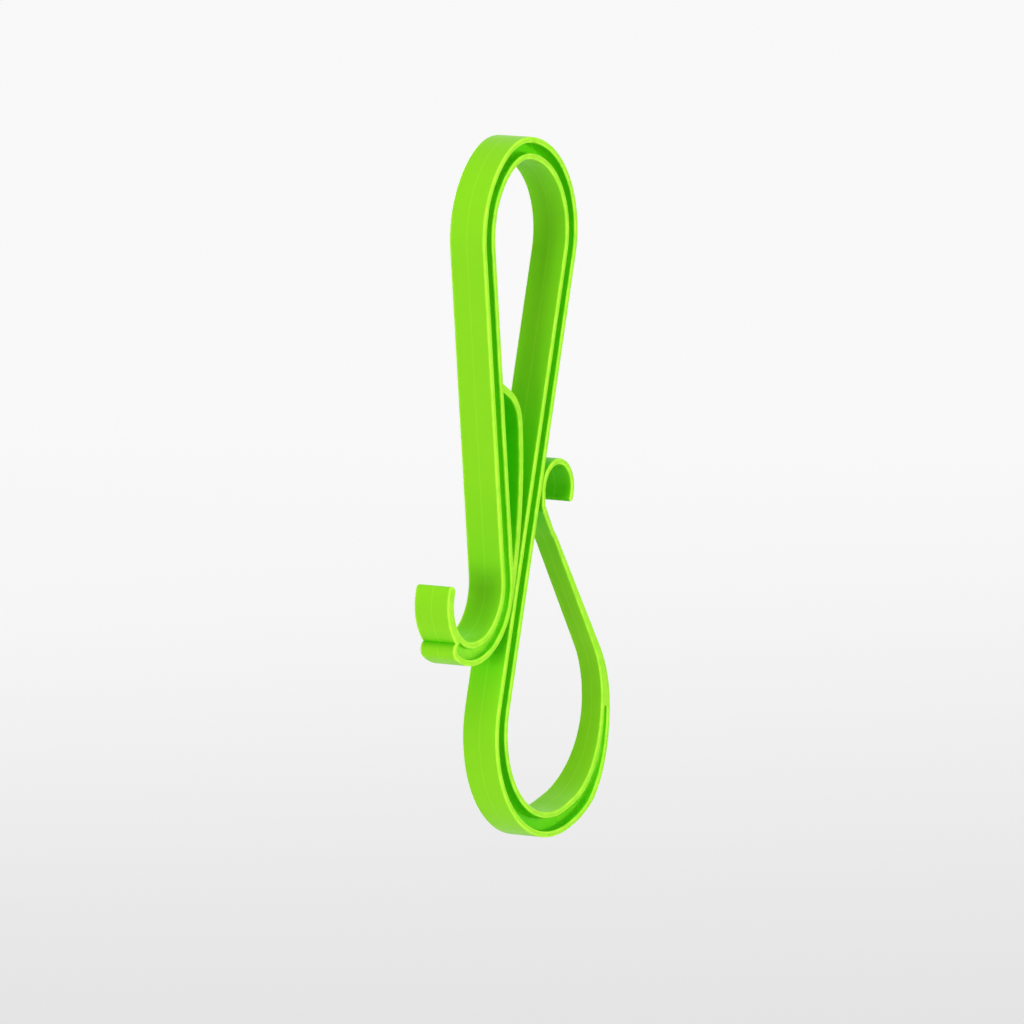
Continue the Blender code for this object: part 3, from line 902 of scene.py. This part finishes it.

# %% [markdown]
# ### The rims and the parting line
# Rims are thin, so light comes through them, and their rounds catch the lamps, so they get a painted
# highlight: a paler, yellower green. An attribute gives its place, and a fine noise leaves patches with
# less of it. The parting line is a ridge like them, so it gets a little of the same painted highlight
# along the middle of the depth.

# %% The rims and the parting line
GREEN_RIM_HIGHLIGHT = (0.430, 0.820, 0.045, 1.0)
RUB_AND_HIGHLIGHT_SCALE = 220.0
RUB_AND_HIGHLIGHT_DETAIL = 4.0
PATCH_RANGE = (0.38, 0.62)
PATCH_SHARES = (0.55, 1.0)
PARTING_HIGHLIGHT = 0.20
rub_and_highlight_noise = noise(tree, (-1100, -250), coords, RUB_AND_HIGHLIGHT_SCALE)
rub_and_highlight_noise.inputs["Detail"].default_value = RUB_AND_HIGHLIGHT_DETAIL
painted_light_mark = node(tree, "ShaderNodeAttribute", (-1100, 600), attribute_name="painted_light_share")
highlight_patches = ranged(tree, (-1100, 850), rub_and_highlight_noise.outputs["Fac"], PATCH_RANGE, PATCH_SHARES)
patchy_rim_highlight = node(tree, "ShaderNodeMath", (-800, 700), operation="MULTIPLY")
tree.links.new(painted_light_mark.outputs["Fac"], patchy_rim_highlight.inputs[0])
tree.links.new(highlight_patches, patchy_rim_highlight.inputs[1])
axes = node(tree, "ShaderNodeSeparateXYZ", (-1400, 1100))
tree.links.new(coords.outputs["Object"], axes.inputs[0])
from_middle = node(tree, "ShaderNodeMath", (-1100, 1100), operation="ABSOLUTE")
tree.links.new(axes.outputs["Y"], from_middle.inputs[0])
# The parting ridge gets a little painted highlight.
parting_highlight = ranged(
    tree, (-800, 1100), from_middle.outputs[0], (PARTING_WIDTH / 4, PARTING_WIDTH), (PARTING_HIGHLIGHT, 0.0)
)
painted_highlight_share = node(tree, "ShaderNodeMath", (-650, 850), operation="MAXIMUM")
tree.links.new(patchy_rim_highlight.outputs[0], painted_highlight_share.inputs[0])
tree.links.new(parting_highlight, painted_highlight_share.inputs[1])
# The paler rim green is a painted highlight.
rim_highlight_green = mixed(tree, (-500, 400), painted_highlight_share.outputs[0], face_green_with_painted_shade, GREEN_RIM_HIGHLIGHT)
# The patches are those of the painted highlight on the rims.
print("rims are worn in patches of about", round(1000 / RUB_AND_HIGHLIGHT_SCALE, 1), "mm")

# %% [markdown]
# ### The grooves
# A groove would look nearly black if only its own shade counted. On the real hook light comes through the
# thin walls and bounces between them, so a painted light, a lighter and very pure green, makes up for the
# shade in the grooves.

# %% The grooves
GREEN_GROOVE_LIGHT = (0.330, 0.920, 0.008, 1.0)
HOLLOW_REACH = 0.0070
HOLLOW_RANGE = (0.05, 0.50)
openness = ranged(
    tree, (-800, 0), how_open(tree, (-1100, 0), HOLLOW_REACH), HOLLOW_RANGE,
    interpolation_type="SMOOTHSTEP",
)
# Deep grooves get a painted light, a lighter and purer green.
base_green_with_painted_light = mixed(tree, (-300, 200), openness, GREEN_GROOVE_LIGHT, rim_highlight_green)
tree.links.new(base_green_with_painted_light, shader.inputs["Base Color"])
print("grooves are found within", HOLLOW_REACH * 1000, "mm")

# %% [markdown]
# ### Gloss and grain
# Hands leave fine rub marks in the gloss, and the mould's steel leaves a grain that is only just there.
# The rub marks are the same noise as the patches of the painted highlight on the rims, so both change
# together.

# %% Gloss and grain
GLOSS_RANGE = (0.27, 0.40)
GRAIN_SCALE = 900.0
GRAIN_STRENGTH = 0.06
GRAIN_HEIGHT = 0.0002
gloss = ranged(tree, (-800, -250), rub_and_highlight_noise.outputs["Fac"], wanted=GLOSS_RANGE)
tree.links.new(gloss, shader.inputs["Roughness"])
grain = noise(tree, (-1100, -500), coords, GRAIN_SCALE)
relief = node(tree, "ShaderNodeBump", (-800, -500))
relief.inputs["Strength"].default_value = GRAIN_STRENGTH
relief.inputs["Distance"].default_value = GRAIN_HEIGHT
tree.links.new(grain.outputs["Fac"], relief.inputs["Height"])
tree.links.new(relief.outputs["Normal"], shader.inputs["Normal"])
print("plastic has", len(tree.nodes), "nodes")

# %% The plastic on the skins
for skin in (frame_skin, arm_skin, wedge_skin, gate_skin):
    skin.data.materials.clear()
    skin.data.materials.append(plastic)
    print(skin.name, "is made of", skin.data.materials[0].name)

# %% [markdown]
# ## The studio
# Behind the hook the photograph shows a pale ground, a little darker to the bottom. A floor well below
# the hook gives it. Lamps alone would need to be far too strong to make it so pale, so what the camera
# sees of it is mostly its own glow, and the rest is lit and keeps the hook's shadow.

# %% What is seen directly
def seen_directly(tree, place):
    """One for what the camera, a reflection or a clear body sees, and zero for light that bounces."""
    path = node(tree, "ShaderNodeLightPath", (place[0] - 600, place[1]))
    first = node(tree, "ShaderNodeMath", (place[0] - 300, place[1]), operation="MAXIMUM")
    second = node(tree, "ShaderNodeMath", place, operation="MAXIMUM")
    tree.links.new(path.outputs["Is Camera Ray"], first.inputs[0])
    tree.links.new(path.outputs["Is Glossy Ray"], first.inputs[1])
    tree.links.new(first.outputs[0], second.inputs[0])
    tree.links.new(path.outputs["Is Transmission Ray"], second.inputs[1])
    return second.outputs[0]


# %% The ground
FLOOR_PALE = (0.90, 0.90, 0.90, 1.0)
FLOOR_LIT = (0.06, 0.06, 0.06, 1.0)
GLOW_REACH = (-0.4, 2.8)
GLOW_RANGE = (0.67, 0.93)
ground = bpy.data.materials.new("pale_ground")
ground.use_nodes = True
tree = ground.node_tree
tree.nodes.remove(tree.nodes["Principled BSDF"])
where = node(tree, "ShaderNodeTexCoord", (-1200, 200))
along = node(tree, "ShaderNodeVectorMath", (-900, 200), operation="DOT_PRODUCT")
along.inputs[1].default_value = Vector((look.x, look.y, 0.0)).normalized()
tree.links.new(where.outputs["Object"], along.inputs[0])
fade = ranged(
    tree, (-600, 200), along.outputs["Value"], GLOW_REACH, GLOW_RANGE, interpolation_type="SMOOTHSTEP"
)
glow = node(tree, "ShaderNodeEmission", (-300, 200))
lit = node(tree, "ShaderNodeBsdfDiffuse", (-300, 0))
lit.inputs["Color"].default_value = FLOOR_LIT
pale = node(tree, "ShaderNodeBsdfDiffuse", (-300, -200))
pale.inputs["Color"].default_value = FLOOR_PALE
seen = node(tree, "ShaderNodeAddShader", (0, 100))
ground_mix = node(tree, "ShaderNodeMixShader", (300, 0))
for source, target in (
    (fade, glow.inputs["Strength"]),
    (glow.outputs[0], seen.inputs[0]),
    (lit.outputs[0], seen.inputs[1]),
    (seen_directly(tree, (0, -400)), ground_mix.inputs[0]),
    (pale.outputs[0], ground_mix.inputs[1]),
    (seen.outputs[0], ground_mix.inputs[2]),
    (ground_mix.outputs[0], tree.nodes["Material Output"].inputs["Surface"]),
):
    tree.links.new(source, target)
print("ground glows from", GLOW_RANGE[0], "to", GLOW_RANGE[1])

# %% The floor
FLOOR_Z = -0.45
FLOOR_SIZE = 30.0
floor_shape = bmesh.new()
bmesh.ops.create_grid(floor_shape, x_segments=1, y_segments=1, size=FLOOR_SIZE / 2)
bmesh.ops.translate(floor_shape, verts=floor_shape.verts, vec=(0.0, 0.0, FLOOR_Z))
floor_mesh = bpy.data.meshes.new("studio_floor")
floor_shape.to_mesh(floor_mesh)
floor_shape.free()
floor = bpy.data.objects.new("studio_floor", floor_mesh)
bpy.context.scene.collection.objects.link(floor)
floor.data.materials.append(ground)
print("floor at", FLOOR_Z, "m")

# %% [markdown]
# ## The surround
# A plain pale surround fills the shade from all sides. What the camera sees of it is nearly white,
# and what lights the hook is much weaker, so that the lamps give the shapes.

# %% The surround
SURROUND = 0.21
WHITE = (1.0, 1.0, 1.0, 1.0)
NEARLY_WHITE = (0.95, 0.95, 0.95, 1.0)
world = bpy.data.worlds.new("studio_world")
bpy.context.scene.world = world
world.use_nodes = True
tree = world.node_tree
back = tree.nodes["Background"]
back.inputs["Color"].default_value = WHITE
back.inputs["Strength"].default_value = SURROUND
white = node(tree, "ShaderNodeBackground", (-200, -200))
white.inputs["Color"].default_value = NEARLY_WHITE
world_mix = node(tree, "ShaderNodeMixShader", (100, 0))
for source, target in (
    (seen_directly(tree, (-200, 300)), world_mix.inputs[0]),
    (back.outputs[0], world_mix.inputs[1]),
    (white.outputs[0], world_mix.inputs[2]),
    (world_mix.outputs[0], tree.nodes["World Output"].inputs["Surface"]),
):
    tree.links.new(source, target)
print("surround at", SURROUND)

# %% [markdown]
# ## The lamps
# One lamp stands level to the left for the broad faces, so the tip shades the inside of the J-hook.
# One in front lights the rims and the pocket floors, one is above the crest, and one behind keeps the
# far side from looking dull. An azimuth of zero is in front, and it grows towards +X.

# %% The lamps
LAMP_DISTANCE = 2.0
Lamp = namedtuple("Lamp", "name azimuth elevation size watts")
LAMPS = (
    Lamp("left_lamp", azimuth=-89.0, elevation=0.0, size=0.6, watts=17.2),
    Lamp("front_lamp", azimuth=-11.0, elevation=8.0, size=1.0, watts=26.0),
    Lamp("top_lamp", azimuth=-50.0, elevation=76.0, size=1.0, watts=22.5),
    Lamp("back_lamp", azimuth=150.0, elevation=20.0, size=1.0, watts=16.0),
)


def place_lamp(lamp):
    """A square soft lamp, aimed at the hook from a direction round it."""
    data = bpy.data.lights.new(lamp.name, "AREA")
    data.shape = "SQUARE"
    data.size = lamp.size
    data.energy = lamp.watts
    made = bpy.data.objects.new(lamp.name, data)
    azimuth, elevation = math.radians(lamp.azimuth), math.radians(lamp.elevation)
    away = Vector((
        math.sin(azimuth) * math.cos(elevation), -math.cos(azimuth) * math.cos(elevation),
        math.sin(elevation),
    ))
    made.location = VIEW_TARGET + away * LAMP_DISTANCE
    made.rotation_euler = (-away).to_track_quat("-Z", "Y").to_euler()
    bpy.context.scene.collection.objects.link(made)
    print(lamp.name, [round(value, 2) for value in made.location])


for lamp in LAMPS:
    place_lamp(lamp)

# %% [markdown]
# ## The finish
# The Standard view shows each colour as it was written.

# %% The finish
bpy.context.scene.view_settings.view_transform = "Standard"
